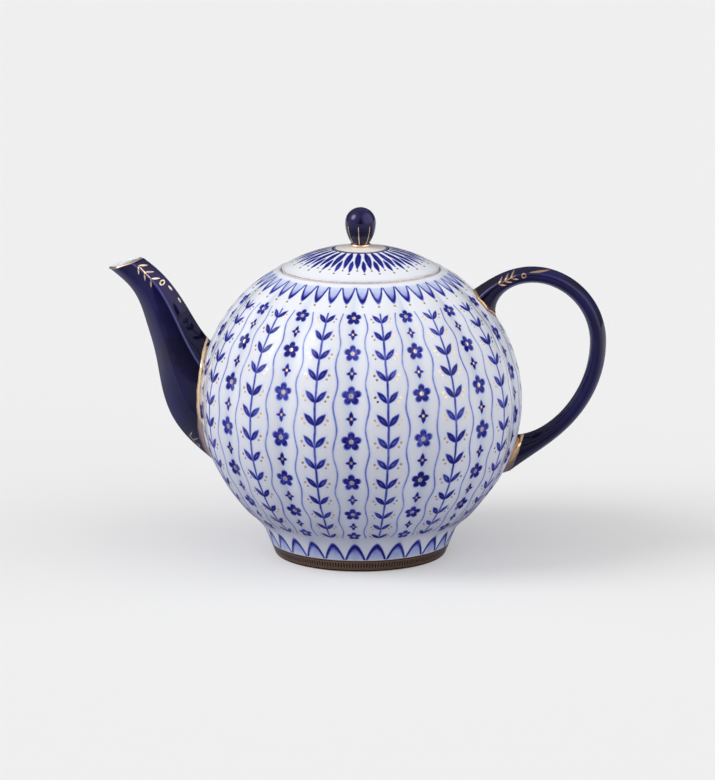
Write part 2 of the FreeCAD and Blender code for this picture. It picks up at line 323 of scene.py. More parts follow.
def draw_lobes():
    """One lobe drawn up its meridian from a point and an arc, then repeated round the pot."""
    bpy.ops.mesh.primitive_circle_add(vertices=3, radius=MM)
    piece = named("pot_body_glazed")
    edit()
    bpy.ops.mesh.select_all(action="SELECT")
    bpy.ops.mesh.merge(type="CENTER")
    half, sag = lobe_end(0)
    reach = math.degrees(math.asin(half / LOBE_RADIUS))
    across = arc(GLOBE_RADIUS - LOBE_RADIUS, 0, LOBE_RADIUS, -reach, reach, LOBE_STEPS)
    move(across[0][0], across[0][1], GLOBE_HEIGHT)
    for (x, y), (next_x, next_y) in zip(across, across[1:]):
        extrude()
        move(next_x - x, next_y - y)
    bpy.ops.mesh.select_all(action="SELECT")
    axis = (GLOBE_OFFSET, 0, GLOBE_HEIGHT)
    crest = (GLOBE_RADIUS, 0, GLOBE_HEIGHT)
    low = meridian_angle(GLOBE_FOOT)
    high = meridian_angle(GLOBE_RIM)
    angle = 0.0
    for k in range(LOBE_ROWS + 1):
        if k:
            extrude()
        target = low + (high - low) * k / LOBE_ROWS
        new_half, new_sag = lobe_end(target)
        swing(-angle, axis)
        stretch(new_sag / sag, new_half / half, 1, crest)
        swing(target, axis)
        half, sag, angle = new_half, new_sag, target
    bpy.ops.mesh.select_all(action="SELECT")
    bpy.ops.mesh.spin(steps=LOBES, dupli=True, angle=2 * math.pi, center=ORIGIN, axis=(0, 0, 1))
    bpy.ops.mesh.select_all(action="SELECT")
    bpy.ops.mesh.remove_doubles(threshold=LOBE_WELD * MM)
    return piece


def make_pot_body():
    leave_edit()
    piece = draw_lobes()
    inner = GLOBE_RADIUS - WALL
    shoulder = math.degrees(math.asin((CEILING - GLOBE_HEIGHT) / inner))
    floor = math.degrees(math.asin((FLOOR_HEIGHT - GLOBE_HEIGHT) / inner))
    rim_start = (RIM_TOP, RIM_HEIGHT)
    ring(*rim_start)
    draw_out(
        [rim_start]
        + arc(SEAT_RADIUS + RIM_ROUND, RIM_HEIGHT - RIM_ROUND, RIM_ROUND, 90, 180, 5)
        + arc(SEAT_RADIUS - CORNER_ROUND, SEAT_HEIGHT + CORNER_ROUND, CORNER_ROUND, 0, -90, 3)
        + arc(MOUTH_RADIUS + MOUTH_ROUND, SEAT_HEIGHT - MOUTH_ROUND, MOUTH_ROUND, 90, 180, 5)
        + arc(MOUTH_RADIUS + MOUTH_ROUND, CEILING + MOUTH_ROUND, MOUTH_ROUND, 180, 270, 5)
        + arc(0, GLOBE_HEIGHT, inner, shoulder, floor, 44)
        + FLOOR_DIP)
    close_pole()

    foot_start = (FOOT_RADIUS + FOOT_SLOPE * FOOT_TOP, FOOT_TOP)
    ring(*foot_start)
    draw_out(
        [foot_start]
        + [(FOOT_RADIUS + FOOT_SLOPE * height, height) for height in FOOT_RINGS]
        + arc(FOOT_RADIUS - FOOT_ROUND + CORNER_ROUND, FOOT_ROUND, FOOT_ROUND, -20, -90, 5)
        + arc(FOOT_INSIDE + FOOT_ROUND, FOOT_ROUND, FOOT_ROUND, -90, -180, 5)
        + FOOT_RECESS)
    close_pole()
    join_open_rings(piece, True)
    join_open_rings(piece, False)
    settle(piece)
    spots = [(STRAINER_PLACE, 0, STRAINER_HEIGHT)]
    for k in range(6):
        turn = math.radians(90 + 60 * k)
        height = STRAINER_HEIGHT + STRAINER_RING * math.sin(turn)
        spots.append((STRAINER_PLACE, STRAINER_RING * math.cos(turn), height))
    cut_away(piece, pegs(spots, STRAINER_HOLE, STRAINER_PEG, (0, math.pi / 2, 0)))
    return settle(piece)


def spline(stations, steps):
    """Smooth run of stations: a natural cubic through the given ones, by the distance between them."""
    knots = [0.0]
    for one, two in zip(stations, stations[1:]):
        knots.append(knots[-1] + math.hypot(two[0] - one[0], two[1] - one[1]))
    last = len(stations) - 1
    columns = []
    for values in zip(*stations):
        bend = [0.0] * (last + 1)
        share = [0.0] * (last + 1)
        for i in range(1, last):
            before, after = knots[i] - knots[i - 1], knots[i + 1] - knots[i]
            pull = (values[i + 1] - values[i]) / after - (values[i] - values[i - 1]) / before
            pivot = 2 * (before + after) - before * share[i - 1]
            share[i] = after / pivot
            bend[i] = (6 * pull - before * bend[i - 1]) / pivot
        for i in range(last - 1, 0, -1):
            bend[i] -= share[i] * bend[i + 1]
        columns.append((values, bend))
    run = []
    for k in range(steps + 1):
        place = knots[-1] * k / steps
        i = min(max(j for j in range(last + 1) if knots[j] <= place + 1e-9), last - 1)
        span = knots[i + 1] - knots[i]
        a, b = (knots[i + 1] - place) / span, (place - knots[i]) / span
        run.append(tuple(
            a * v[i] + b * v[i + 1] + ((a ** 3 - a) * m[i] + (b ** 3 - b) * m[i + 1]) * span ** 2 / 6
            for v, m in columns))
    return run


def six_sided(name, section):
    """A six-sided ring in the middle plane, pointed at its two ends, at its first section."""
    leave_edit()
    bpy.ops.mesh.primitive_circle_add(vertices=SIDES, radius=MM, rotation=(math.pi / 2, 0, math.pi / 2))
    piece = named(name)
    edit()
    choose(piece, lambda x, y, z: abs(z) < 0.9)
    stretch(1, 1 / math.cos(math.pi / SIDES), POINTED)
    bpy.ops.mesh.select_all(action="SELECT")
    carry((0, 0, 0, 2, 1), section)
    return piece


def carry(old, new):
    """Take the selected section from its old place, lean and size to its new ones."""
    move(-old[0], 0, -old[1])
    swing(old[2])
    stretch(1, new[4] / old[4], new[3] / old[3])
    swing(-new[2])
    move(new[0], 0, new[1])


def draw_along(sections):
    for old, new in zip(sections, sections[1:]):
        extrude()
        carry(old, new)


def ease_ridges(piece, width, segments, sections):
    """Round the long edges, which run from ring to ring, and mark them for paler cobalt, the outer ones most:
    thinner glaze over the edges, and a painted highlight on the outer side.
    """
    bpy.ops.mesh.select_mode(type="EDGE")
    bpy.ops.mesh.select_all(action="DESELECT")
    bpy.ops.object.mode_set(mode="OBJECT")
    for edge in piece.data.edges:
        first, second = edge.vertices
        edge.select = first // SIDES != second // SIDES
    bpy.ops.object.mode_set(mode="EDIT")
    bpy.ops.mesh.bevel(offset=width * MM, segments=segments, profile=0.5, clamp_overlap=True)
    bpy.ops.mesh.select_mode(type="FACE")
    bpy.ops.mesh.select_less()
    bpy.ops.mesh.select_mode(type="VERT")
    bpy.ops.object.mode_set(mode="OBJECT")
    ridge = piece.data.attributes.new("ridge", "FLOAT", "POINT")
    for vertex, mark in zip(piece.data.vertices, ridge.data):
        if vertex.select:
            x, z = vertex.co.x / MM, vertex.co.z / MM
            near = min(sections, key=lambda section: math.hypot(x - section[0], z - section[1]))
            lean = math.radians(near[2])
            outward = (x - near[0]) * math.sin(lean) + (z - near[1]) * math.cos(lean)
            mark.value = 1.0 if outward > 0 else INNER_RIDGE
    bpy.ops.object.mode_set(mode="EDIT")


def cap_ends():
    """Close the two open rings at the ends."""
    bpy.ops.mesh.select_all(action="DESELECT")
    bpy.ops.mesh.select_mode(type="EDGE")
    bpy.ops.mesh.select_non_manifold()
    bpy.ops.mesh.edge_face_add()
    bpy.ops.mesh.select_mode(type="VERT")


def globe_tool():
    """A little inside the pot's surface, so that what is luted on reaches into the wall."""
    leave_edit()
    bpy.ops.mesh.primitive_uv_sphere_add(segments=96, ring_count=64, radius=LUTED_DEPTH * MM,
                                         location=(0, 0, GLOBE_HEIGHT * MM))
    return named("globe_tool")


def make_spout():
    outside = spline(SPOUT[::-1], SPOUT_ROWS)
    inside = [(x, z, lean, depth - DEPTH_WALLS * wall, wide - wall, wall)
              for x, z, lean, depth, wide, wall in outside]
    tip = SPOUT[0]
    ahead = (-math.sin(math.radians(90 - tip[2])), math.cos(math.radians(90 - tip[2])))
    lip = []
    for share, rise in LIP:
        lip.append((tip[0] + ahead[0] * rise, tip[1] + ahead[1] * rise, tip[2],
                    tip[3] - DEPTH_WALLS * tip[5] * share, tip[4] - tip[5] * share))
    sections = outside[:-1] + lip + inside[-2::-1]
    piece = six_sided("spout_glazed", sections[0])
    draw_along(sections)
    first_inside = SIDES * (len(outside) + 2)
    bpy.ops.object.mode_set(mode="OBJECT")
    for face in piece.data.polygons:
        face.material_index = int(min(face.vertices) >= first_inside)
    bpy.ops.object.mode_set(mode="EDIT")
    ease_ridges(piece, SPOUT_RIDGE, 3, outside)
    cap_ends()
    settle(piece)
    cut_away(piece, globe_tool())
    return settle(piece)


def handle_section(degrees):
    """Section of the ear at an angle: two arcs that meet at its far side, flared toward both roots."""
    bow, sag = (EAR_TOP, UPPER_SAG) if degrees > 0 else (EAR_BOTTOM, LOWER_SAG)
    toward_root = min(1, max(0, (degrees - UPPER_ROOT) / UPPER_RUN, (LOWER_ROOT - degrees) / LOWER_RUN))
    radius = bow + HANDLE_THICK * sag * toward_root ** 2
    x = EAR_REACH - bow + radius * math.cos(math.radians(degrees))
    z = EAR_HEIGHT + radius * math.sin(math.radians(degrees))
    depth = HANDLE_THICK * (1 + ROOT_DEPTH * toward_root ** 5)
    wide = HANDLE_WIDE * (1 + ROOT_WIDTH * toward_root ** 2)
    return x, z, 90 - degrees, depth, wide


def make_handle():
    sections = [handle_section(HANDLE_START - HANDLE_STEP * k) for k in range(HANDLE_ROWS)]
    piece = six_sided("handle_glazed", sections[0])
    draw_along(sections)
    ease_ridges(piece, HANDLE_RIDGE, 3, sections)
    cap_ends()
    settle(piece)
    cut_away(piece, globe_tool())
    return settle(piece)


def make_lid():
    leave_edit()
    top = (COLLAR_RADIUS + 0.1, DOME_HEIGHT)
    brim = math.acos((LID_RADIUS - BRIM_ROUND) / (DOME_RADIUS - BRIM_ROUND))
    brim_height = DOME_CENTRE + (DOME_RADIUS - BRIM_ROUND) * math.sin(brim)
    dome_top = math.degrees(math.acos(top[0] / DOME_RADIUS))
    under = DOME_RADIUS - LID_WALL
    under_edge = math.degrees(math.acos(FLANGE_INSIDE / under))
    ring(*top)
    piece = named("lid_glazed")
    edit()
    bpy.ops.mesh.select_all(action="SELECT")
    profile = (
        arc(0, DOME_CENTRE, DOME_RADIUS, dome_top - 1, math.degrees(brim), 36)
        + arc(LID_RADIUS - BRIM_ROUND, brim_height, BRIM_ROUND, math.degrees(brim), 0, 8)[1:]
        + arc(LID_RADIUS - LID_EDGE_ROUND, SEAT_HEIGHT + LID_EDGE_ROUND, LID_EDGE_ROUND, 0, -90, 4)
        + arc(FLANGE_RADIUS + CORNER_ROUND, SEAT_HEIGHT - CORNER_ROUND, CORNER_ROUND, 90, 180, 3)
        + arc(FLANGE_RADIUS - FLANGE_ROUND, FLANGE_BOTTOM + FLANGE_ROUND, FLANGE_ROUND, 0, -90, 5)
        + arc(FLANGE_INSIDE + FLANGE_ROUND, FLANGE_BOTTOM + FLANGE_ROUND, FLANGE_ROUND, -90, -180, 5)
        + arc(0, DOME_CENTRE, under, under_edge, 89, 24))
    draw_out([top] + profile)
    close_pole()
    choose(piece, lambda x, y, z: z > DOME_HEIGHT - 0.001 and abs(math.hypot(x, y) - top[0]) < 0.001)
    close_pole()
    settle(piece)
    cut_away(piece, pegs([(0, VENT_PLACE, VENT_HEIGHT)], VENT_HOLE, VENT_PEG, ORIGIN))
    return settle(piece)


def make_knob():
    leave_edit()
    base = DOME_HEIGHT
    collar_top = base + COLLAR_HEIGHT
    widest = base + KNOB_HEIGHT - KNOB_RADIUS
    taper = KNOB_RADIUS - KNOB_NECK
    rise = widest - collar_top
    egg = (taper ** 2 + rise ** 2) / (2 * taper)
    neck_angle = math.degrees(math.asin(rise / egg))
    bead = COLLAR_HEIGHT / 2
    start = (COLLAR_RADIUS - bead, base)
    ring(*start, count=KNOB_AROUND)
    piece = named("lid_knob_glazed")
    edit()
    bpy.ops.mesh.select_all(action="SELECT")
    close_pole()
    choose(piece, lambda x, y, z: math.hypot(x, y) > 1)
    draw_out(
        [start]
        + arc(COLLAR_RADIUS - bead, base + bead, bead, -75, 75, 8)
        + [(KNOB_NECK + 0.05, collar_top + 0.1)]
        + arc(KNOB_RADIUS - egg, widest, egg, -neck_angle + 1.5, 0, 20)
        + arc(0, widest, KNOB_RADIUS, 4, 88, 22))
    close_pole(0.005)
    return settle(piece)


pot_body = make_pot_body()
spout = make_spout()
handle = make_handle()
lid = make_lid()
lid_knob = make_knob()
for piece, node, body, slot in (
    (pot_body, "pot_body", "pot", "painted_white_glaze"),
    (spout, "spout", "pot", "cobalt_glaze"),
    (handle, "handle", "pot", "cobalt_glaze"),
    (lid, "lid", "lid", "painted_white_glaze"),
    (lid_knob, "lid_knob", "lid", "cobalt_glaze"),
):
    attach(piece, body)
    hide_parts(node)


class Nodes:
    """Adds nodes to one material's or the world's tree."""

    def __init__(self, tree):
        self.tree = tree

    def node(self, kind, output=0, inputs=None, **settings):
        made = self.tree.nodes.new(kind)
        for word, setting in settings.items():
            setattr(made, word, setting)
        for place, thing in (inputs or {}).items():
            self.feed(made.inputs[place], thing)
        return Value(self, made.outputs[output])

    def feed(self, socket, thing):
        if isinstance(thing, Value):
            self.tree.links.new(thing.socket, socket)
        else:
            socket.default_value = thing

    def blend(self, share, first, second, kind="MIX"):
        """Colour between two colours."""
        inputs = {0: share, 6: first, 7: second}
        return self.node("ShaderNodeMix", 2, inputs, data_type="RGBA", blend_type=kind)

    def noise(self, place, scale, detail=2.0, output=0):
        inputs = {"Vector": place, "Scale": scale, "Detail": detail}
        return self.node("ShaderNodeTexNoise", output, inputs)

    def ray(self, kind):
        """1 for rays of a kind, such as Camera or Glossy."""
        return self.node("ShaderNodeLightPath", "Is " + kind + " Ray")

    def parts(self, vector):
        """The three numbers of a vector or colour."""
        return [self.node("ShaderNodeSeparateXYZ", axis, {0: vector}) for axis in range(3)]


class Value:
    """A number from a node, which sums, products and the like turn into further nodes."""

    def __init__(self, nodes, socket):
        self.nodes = nodes
        self.socket = socket

    def math(self, operation, *others):
        inputs = dict(enumerate((self, *others)))
        return self.nodes.node("ShaderNodeMath", 0, inputs, operation=operation)

    def __add__(self, other):
        return self.math("ADD", other)

    __radd__ = __add__

    def __sub__(self, other):
        return self.math("SUBTRACT", other)

    def __rsub__(self, other):
        return self.nodes.node("ShaderNodeMath", 0, {0: other, 1: self}, operation="SUBTRACT")

    def __mul__(self, other):
        return self.math("MULTIPLY", other)

    def __truediv__(self, other):
        return self.math("DIVIDE", other)

    def __pow__(self, other):
        return self.math("POWER", other)

    def __abs__(self):
        return self.math("ABSOLUTE")

    def most(self, other):
        return self.math("MAXIMUM", other)

    def rise(self, low, high):
        """0 below low and 1 above high, eased between; with low above high it falls instead."""
        inputs = {"Value": self, "From Min": low, "From Max": high}
        return self.nodes.node("ShaderNodeMapRange", 0, inputs, interpolation_type="SMOOTHSTEP")


def length(first, second):
    return (first * first + second * second).math("SQRT")


def sine(value):
    return value.math("SINE")


def repeat(value, pitch):
    """Distance from the nearest multiple of the pitch."""
    turns = value / pitch
    return (turns - turns.math("ROUND")) * pitch


def lens(x, y, start, degrees, long, wide):
    """How far inside a leaf a point is: a leaf from its stalk's place, turned from +y towards +x."""
    turn = math.radians(degrees)
    off_x, off_y = x - start[0], y - start[1]
    along = (off_x * math.sin(turn) + off_y * math.cos(turn)) * (2 / long) - 1
    across = abs(off_x * math.cos(turn) - off_y * math.sin(turn)) / wide
    return 1 - along * along - across


def dot(x, y, centre, radius):
    """How far inside a dot a point is."""
    return radius - length(x - centre[0], y - centre[1])


def begin(name):
    """A new material, its nodes and the place on the piece in millimetres."""
    material = bpy.data.materials.new(name)
    material.use_nodes = True
    nodes = Nodes(material.node_tree)
    place = nodes.node("ShaderNodeTexCoord", "Object")
    place = nodes.node("ShaderNodeVectorMath", 0, {0: place, "Scale": 1 / MM}, operation="SCALE")
    return material, nodes, place


GOLD = (0.80, 0.53, 0.29, 1)
PALE_GOLD = (0.93, 0.71, 0.47, 1)
DARK_GOLD = (0.36, 0.195, 0.09, 1)
# dark of the foot band's dashes and line, also its painted shadow at the bottom edge
BAND_DARK_AND_SHADOW = (0.02, 0.012, 0.01, 1)
# painted reflection: the pale cream that the gilt disc round the knob shows as it mirrors the light
DISC_PAINTED_REFLECTION = (0.88, 0.84, 0.81, 1)
WHITE = (0.805, 0.82, 0.875, 1)
INSIDE_WHITE = (0.80, 0.83, 0.88, 1)
# bluish darkening of the valleys between the lobes: partly glaze pooling, partly painted shade that brings out
# the lobes
VALLEY_POOLING_AND_SHADE = (0.84, 0.88, 0.96, 1)
# painted shade for a grey band low on the lid's brim
BRIM_PAINTED_SHADE = (0.80, 0.78, 0.79, 1)
BISCUIT = (0.74, 0.71, 0.66, 1)
# cobalt painted on white, by its density, and cobalt glaze
WASHES = (
    (0.16, (0.60, 0.66, 0.86, 1)),
    (0.45, (0.17, 0.20, 0.60, 1)),
    (0.72, (0.042, 0.042, 0.34, 1)),
)
DEEPEST_WASH = (0.92, (0.012, 0.010, 0.16, 1))
COBALT = (0.003, 0.0025, 0.012, 1)
CLOUDED_COBALT = (0.009, 0.007, 0.072, 1)
# paler cobalt over the ridges: thinner glaze there, and a painted highlight
RIDGE_THINNING_AND_HIGHLIGHT = (0.10, 0.10, 0.27, 1)
# gloss of the glazes, with the colour of the cobalt's reflections
WHITE_GLOSS = 0.16
PLAIN_SHEEN = (1, 1, 1, 1)
SPOUT_GLOSS = 0.42
HANDLE_GLOSS = 0.38
KNOB_GLOSS = 0.62
COBALT_SHEEN = (0.6, 0.55, 1, 1)
GLAZE_ROUGHNESS = 0.08
GOLD_ROUGHNESS = 0.15
# bump heights of ripples in the glaze and of a gold bead; the lobes' accent is counted in beads
RIPPLE = 0.3
BEAD = 0.5
LOBE_ACCENT = 2.2


def surface(material, nodes, place, colour, gold,
            gilding=GOLD, gloss=WHITE_GLOSS, sheen=PLAIN_SHEEN, raised=None):
    """Glossy glaze of a colour with burnished gold on it, and with raised places where it has them."""
    shader = material.node_tree.nodes["Principled BSDF"]
    nodes.feed(shader.inputs["Base Color"], nodes.blend(gold, colour, gilding))
    nodes.feed(shader.inputs["Metallic"], gold)
    nodes.feed(shader.inputs["Roughness"], gold * GOLD_ROUGHNESS + GLAZE_ROUGHNESS)
    shader.inputs["Specular IOR Level"].default_value = gloss
    shader.inputs["Specular Tint"].default_value = sheen
    ripple = nodes.noise(place, 0.16, 1.0)
    inputs = {"Height": ripple, "Strength": 0.25, "Distance": RIPPLE * MM}
    bump = nodes.node("ShaderNodeBump", "Normal", inputs)
    if raised:
        inputs = {"Height": raised, "Distance": BEAD * MM, "Normal": bump}
        bump = nodes.node("ShaderNodeBump", "Normal", inputs)
    nodes.feed(shader.inputs["Normal"], bump)
    return material


def cobalt_on_white(nodes, place, density):
    """Underglaze cobalt from bare white through a watery blue to deep blue."""
    grain = nodes.noise(place, 0.55, 3.0)
    tide = nodes.noise(place, 0.09, 2.0).rise(0.3, 0.7)
    wash = density * (grain * 0.7 + tide * 0.34 + 0.48)
    ramp = nodes.node("ShaderNodeValToRGB", 0, {0: wash})
    stops = ramp.socket.node.color_ramp.elements
    stops[0].color = WHITE
    stops[1].position, stops[1].color = DEEPEST_WASH
    for position, colour in WASHES:
        stops.new(position).color = colour
    return ramp


# painting of the body, in half widths of a lobe, so that it narrows with the lobes toward mouth and foot
CELL = math.pi / LOBES
LEAF_PITCH = 0.62
BLOSSOM_PITCH = 2 * LEAF_PITCH
FIELD = 3 * BLOSSOM_PITCH
FIELD_RISE = 0.19
LINE_ENDS = (FIELD + 0.22, FIELD + 0.18)
TENDRIL = 0.56
HAND = 0.07
BLEED = 0.065
CRISP = (-0.006, 0.006)
PAINTED_RADIUS = GLOBE_RADIUS * 0.995
# heights where the field, the lobes' accent and the glaze begin and end, and the valleys' share of a lobe
FIELD_BOTTOM = (12.6, 13.2)
ACCENT_BOTTOM = (GLOBE_FOOT, 24.0)
ACCENT_TOP = (102.0, 94.0)
BISCUIT_TOP = (0.35, 0.15)
VALLEY = (0.72, 1.0)
# the outside: above this distance from the meridian's centre, below the rim and not in the foot's recess
WALL_MIDDLE = (51.2, 51.5)
RIM_START = (103.2, 102.9)
RECESS_TOP = (9.0, 8.5)
RECESS_SIDE = (28.8, 28.4)
# rows of petals and the foot band: counts, heights and distances from the axis
GOLD_DOT = 0.42
MOUTH_PETALS = 42
MOUTH_PETAL_FEET = 102.5
MOUTH_PETAL_TIPS = 98.0
TIP_DOTS = 97.3
FOOT_PETALS = 28
FOOT_PETAL_FEET = 4.9
FOOT_PETAL_TIPS = 11.4
BAND_TOP = 4.7
BAND_LINE = 4.15
BAND_RADIUS = 31.5
BAND_INSIDE = (28.6, 29.2)
BAND_DASHES = 196
DASH_HEIGHT = 2.6


def garland(across, up):
    """Stem with pairs of leaves along the crest of a lobe: cobalt density and gold."""
    side = abs(across)
    row = repeat(up, LEAF_PITCH)
    kept = abs(up - row).rise(FIELD + 0.1, FIELD)
    stem = side.rise(0.06, 0.006) * 0.7 * abs(up).rise(*LINE_ENDS)
    leaf = lens(side, row, (0.012, -0.20), 42, 0.42, 0.066)
    blade = leaf.rise(-0.75, 0.4) * (1.05 - side * 0.9)
    vein = leaf.rise(0.62, 0.98) * -0.35
    bled = leaf.rise(-2.6, 0.0).most(side.rise(0.16, 0.02)) * BLEED
    blue = stem.most((blade + vein).most(bled) * kept)
    berry = dot(side, row, (0.36, -0.04), 0.038)
    berry = berry.most(dot(side, row, (0.29, -0.16), 0.033))
    return blue, berry.rise(*CRISP) * kept


def blossoms(beside, up):
    """Five-petalled flowers in the valley between two lobes, with a spray between them."""
    row = repeat(up, BLOSSOM_PITCH)
    kept = abs(up - row).rise(FIELD + 0.1, FIELD)
    reach = length(beside, row)
    turn = row.math("ARCTAN2", beside) - math.pi / 2
    petal = abs((turn * 2.5).math("COSINE")) ** 0.6 * 0.13 + 0.115
    inside = petal - reach
    flower = inside.rise(-0.075, 0.045) * (reach / petal * 0.5 + 0.5)
    flower = (flower * reach.rise(0.045, 0.08)).most(inside.rise(-0.17, 0.0) * BLEED) * kept
    gap = abs(row) - LEAF_PITCH
    drop = lens(beside, gap, (0.0, -0.19), 0, 0.25, 0.05)
    drop = drop.most(lens(beside, gap, (0.02, -0.04), 52, 0.2, 0.045))
    between = abs(up).rise(FIELD, FIELD - 0.1)
    blue = flower.most((drop.rise(-0.9, 0.5) * 0.95).most(drop.rise(-3.2, 0.0) * BLEED) * between)
    heart = dot(beside, row, (0, 0), 0.052).rise(*CRISP) * kept
    return blue, heart.most(dot(beside, gap, (0.0, -0.005), 0.036).rise(*CRISP) * between)


def lappets(angle, height, count, low, high):
    """Row of pointed petals round the pot, from their feet at one height to their tips at another."""
    lean = abs(repeat(angle, 2 * math.pi / count)) * (count / math.pi)
    climb = (height - low) / (high - low)
    edge = 1 - climb - lean ** 1.7
    fill = edge.rise(-0.12, 0.18) * climb.rise(-0.06, 0.04)
    core = edge.rise(0.10, 0.46) * (climb * 0.34 - 0.86)
    return fill + core * fill


def foot_band(angle, radius, z):
    """Gilt band round the foot, the dark dashes and line on it, and a strip of painted shadow along its bottom
    edge, where the foot rounds under.
    """
    band = z.rise(BAND_TOP, BAND_TOP - 0.2) * radius.rise(*BAND_INSIDE)
    dash = abs(repeat(angle, 2 * math.pi / BAND_DASHES)) * BAND_RADIUS
    dashes = (0.30 - dash).rise(-0.06, 0.06) * (1.0 - abs(z - DASH_HEIGHT)).rise(-0.1, 0.1)
    # painted shadow: the band darkened below 1 mm, where the foot rounds under; the line at BAND_LINE is the
    # band's own
    line_and_shadow = z.rise(1.0, 0.8).most(abs(z - BAND_LINE).rise(0.22, 0.12))
    return band, dashes.most(line_and_shadow) * band


def outside_of_body(radius, z):
    """1 on the outside, 0 in the chamber, on the rim and in the foot's recess."""
    depth = length(radius - GLOBE_OFFSET, z - GLOBE_HEIGHT) - z.rise(96.0, 100.0) * 1.5
    recess = z.rise(*RECESS_TOP) * radius.rise(*RECESS_SIDE)
    return depth.rise(*WALL_MIDDLE) * z.rise(*RIM_START) * (1 - recess)


def body_paint():
    material, nodes, place = begin("painted_body")
    sway = nodes.parts(nodes.noise(place, 0.11, 2.0, 1))
    x, y, z = nodes.parts(place)
    radius = length(x, y)
    angle = y.math("ARCTAN2", x)
    rise = (z - GLOBE_HEIGHT) / PAINTED_RADIUS
    up = ((1 + rise) / (1 - rise)).math("LOGARITHM", math.e) / (2 * CELL)
    up = up + (sway[0] - 0.5) * HAND + FIELD_RISE
    across = repeat(angle / CELL + (sway[1] - 0.5) * HAND, 2.0)
    side = abs(across)

    leaf_blue, leaf_gold = garland(across, up)
    bloom_blue, bloom_gold = blossoms(1 - side, up)
    off = abs(side - TENDRIL - sine(up * (2 * math.pi / BLOSSOM_PITCH)) * 0.05)
    tendril = (off.rise(0.05, 0.006) * 0.42).most(off.rise(0.14, 0.0) * BLEED) * abs(up).rise(*LINE_ENDS)
    field = z.rise(*FIELD_BOTTOM)
    blue = leaf_blue.most(bloom_blue).most(tendril) * field
    gold = leaf_gold.most(bloom_gold) * field

    blue = blue.most(lappets(angle, z, MOUTH_PETALS, MOUTH_PETAL_FEET, MOUTH_PETAL_TIPS))
    blue = blue.most(lappets(angle, z, FOOT_PETALS, FOOT_PETAL_FEET, FOOT_PETAL_TIPS))
    tips = abs(repeat(angle, 2 * math.pi / MOUTH_PETALS)) * radius
    tips = GOLD_DOT - length(tips, (z - TIP_DOTS) * 1.5)
    gold = gold.most(tips.rise(-0.1, 0.1))

    band, marks_and_shadow = foot_band(angle, radius, z)
    outside = outside_of_body(radius, z)
    biscuit = z.rise(*BISCUIT_TOP)
    gold = gold.most(band) * (1 - marks_and_shadow) * outside * (1 - biscuit)
    colour = cobalt_on_white(nodes, place, blue * outside)
    # valleys between the lobes darkened bluish: partly glaze pooling, partly painted shade that brings out the
    # lobes
    pooling_and_shade = side.rise(*VALLEY) * outside * 0.8
    colour = nodes.blend(pooling_and_shade, colour, VALLEY_POOLING_AND_SHADE, "MULTIPLY")
    # dark of the band's dashes and line, and of its painted shadow along the bottom edge
    colour = nodes.blend(marks_and_shadow, colour, BAND_DARK_AND_SHADOW)
    colour = nodes.blend(biscuit, colour, BISCUIT)
    swell = (1 - side * side) * z.rise(*ACCENT_BOTTOM) * z.rise(*ACCENT_TOP) * outside
    gilding = nodes.blend(band, GOLD, DARK_GOLD)
    return surface(material, nodes, place, colour, gold, gilding, raised=swell * LOBE_ACCENT)


# painting of the lid: distances from the middle, sizes of its leaves, and heights of its line and its top
LID_SECTORS = 28
LID_LEAF_FOOT = 9.3
LID_LEAF = (12.6, 1.05)
LID_DROP_FOOT = 16.4
LID_DROP = (7.2, 0.8)
LID_RING = 9.9
LID_DISC = 9.3
LID_BEADS = (24.4, 22.6)
LID_LINE = 103.75
LID_TOP = (103.9, 104.1)


def lid_paint():
    material, nodes, place = begin("painted_lid")
    sway = nodes.parts(nodes.noise(place, 0.2, 2.0, 1))
    x, y, z = nodes.parts(place)
    radius = length(x, y) + (sway[0] - 0.5) * 0.5
    angle = y.math("ARCTAN2", x) + (sway[1] - 0.5) * 0.04
    sector = 2 * math.pi / LID_SECTORS
    leaf_side = repeat(angle, sector) * radius
    leaf = lens(leaf_side, radius, (0, LID_LEAF_FOOT), 0, *LID_LEAF)
    blue = leaf.rise(-0.3, 0.35) * (1.25 - (radius - LID_LEAF_FOOT) * 0.035)
    blue = blue + leaf.rise(0.72, 1.0) * -0.4
    between = repeat(angle + sector / 2, sector) * radius
    drop = lens(between, radius, (0, LID_DROP_FOOT), 0, *LID_DROP)
    blue = blue.most(drop.rise(-0.4, 0.4) * 0.9)
    blue = blue.most(abs(radius - LID_RING).rise(0.45, 0.25))
    bead = GOLD_DOT - length(between, radius - LID_BEADS[0])
    bead = bead.most(GOLD_DOT - length(leaf_side, radius - LID_BEADS[1]))
    top = z.rise(*LID_TOP)
    disc = radius.rise(LID_DISC + 0.2, LID_DISC)
    wear = nodes.noise(place, 0.35, 3.0).rise(0.42, 0.62)
    line = abs(z - LID_LINE).rise(0.22, 0.1) * radius.rise(27.2, 27.5) * (wear * 0.6 + 0.35)
    gold = (bead.rise(-0.1, 0.1).most(disc * radius.rise(LID_DISC - 0.4, LID_DISC - 0.2)) * top).most(line)
    under = length(radius, z - DOME_CENTRE).rise(DOME_RADIUS - 2.0, DOME_RADIUS - 1.6)
    colour = cobalt_on_white(nodes, place, blue * top * under)
    # painted reflection: the disc round the knob is coloured the pale cream a gilt disc shows as it mirrors
    # the light; only its narrow edge is gold
    colour = nodes.blend(disc * top, colour, DISC_PAINTED_REFLECTION)
    # painted shade: a grey band round the lower part of the lid's brim
    brim = z.rise(105.0, 103.8) * radius.rise(25.6, 27.4)
    colour = nodes.blend(brim * 0.8, colour, BRIM_PAINTED_SHADE, "MULTIPLY")
    return surface(material, nodes, place, colour, gold * under)


